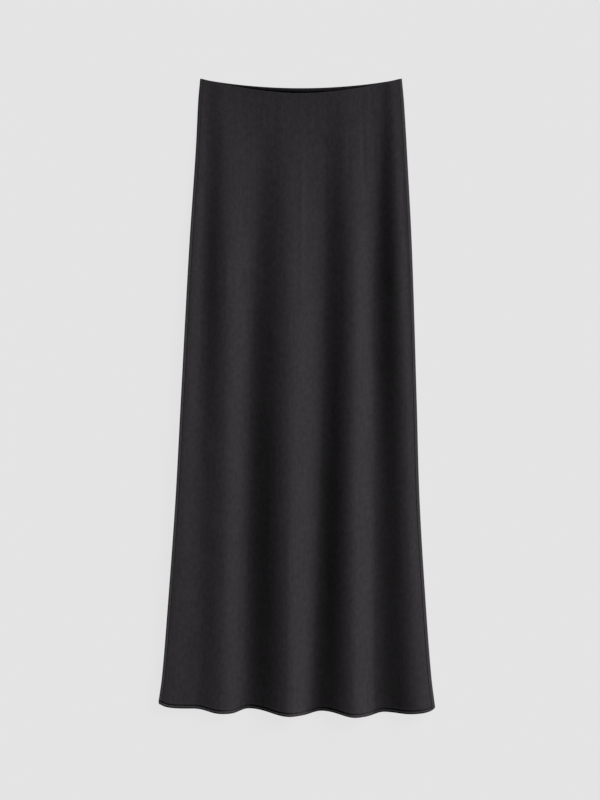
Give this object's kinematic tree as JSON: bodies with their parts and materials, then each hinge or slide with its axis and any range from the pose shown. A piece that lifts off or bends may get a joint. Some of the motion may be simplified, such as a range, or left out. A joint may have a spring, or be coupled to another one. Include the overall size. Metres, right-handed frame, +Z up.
{
  "type": "a-line skirt laid flat",
  "caption": "Long A-line skirt of plain satin laid flat: narrow clean waist edge, soft folds that widen to a narrow turned hem.",
  "frame": {"origin": "middle of the outline seen from above, on the surface that the skirt lies on", "axes": "+X to the skirt's right side as seen from above, +Y from the hem towards the waist, +Z up from the surface to the front panel"},
  "size_m": [0.4246, 0.978, 0.0251],
  "materials": {
    "satin": "soft satin sheen"
  },
  "bodies": {
    "root": {"front_panel": "satin", "back_panel": "satin"}
  },
  "joints": []
}
